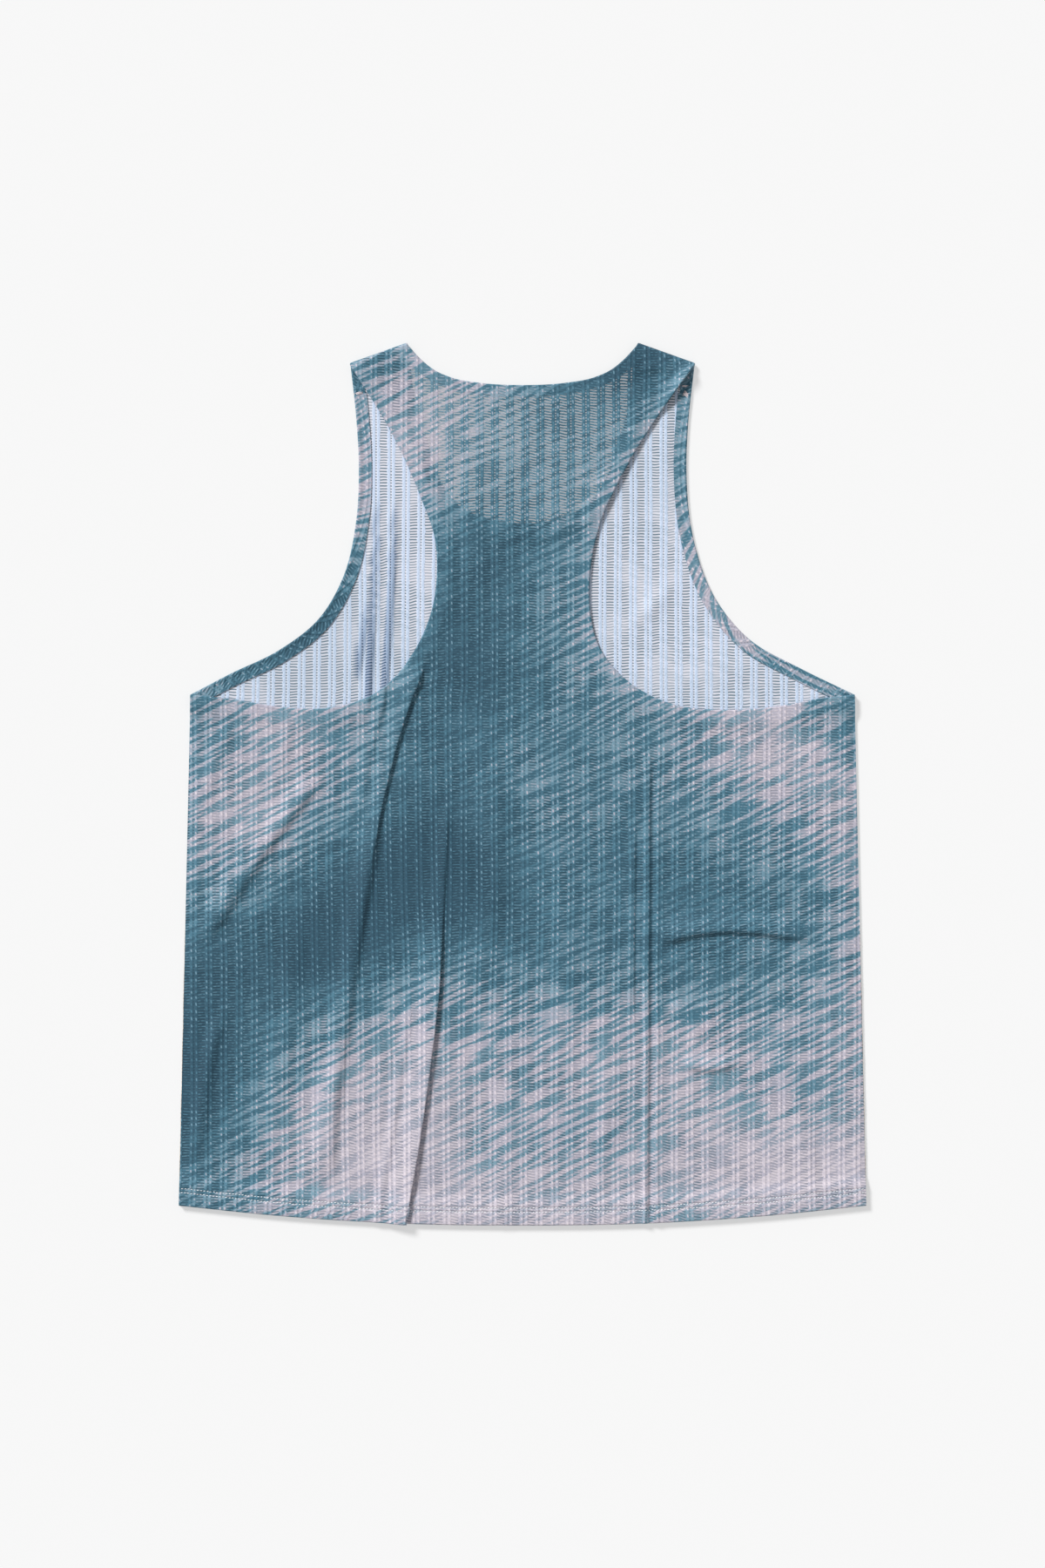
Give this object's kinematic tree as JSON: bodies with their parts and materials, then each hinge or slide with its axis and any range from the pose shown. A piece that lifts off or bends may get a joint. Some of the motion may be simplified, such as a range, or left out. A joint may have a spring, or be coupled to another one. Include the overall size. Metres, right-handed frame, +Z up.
{
  "type": "running singlet",
  "caption": "Sleeveless running singlet in openwork knit, laid flat with its back up, with a racer-cut back, turned edges and soft folds.",
  "frame": {"origin": "on the surface the garment lies on, under the middle of its length and width", "axes": "+Y from the hem up to the neck, +X to the wearer's right (the back faces up), +Z up out of the surface"},
  "size_m": [0.536, 0.6886, 0.0095],
  "materials": {
    "knit_outside": "openwork rib knit, dull, with a faint sheen on the ribs, dyed in soft washes of teal and pale lilac",
    "knit_inside": "the same knit's undyed inner face, pale lilac and light blue ribs with dark slots between the rungs",
    "turned_edges": "the same knit turned in and bonded, denser, two layers thick",
    "seam_thread": "pale polyester sewing thread, slightly glossy"
  },
  "bodies": {
    "root": {"back_panel": "knit_outside", "front_panel": "knit_inside", "back_neck_band": "turned_edges", "front_neck_band": "turned_edges", "back_armhole_band_left": "turned_edges", "back_armhole_band_right": "turned_edges", "front_armhole_band_left": "turned_edges", "front_armhole_band_right": "turned_edges", "back_hem": "turned_edges", "front_hem": "turned_edges"}
  },
  "joints": []
}
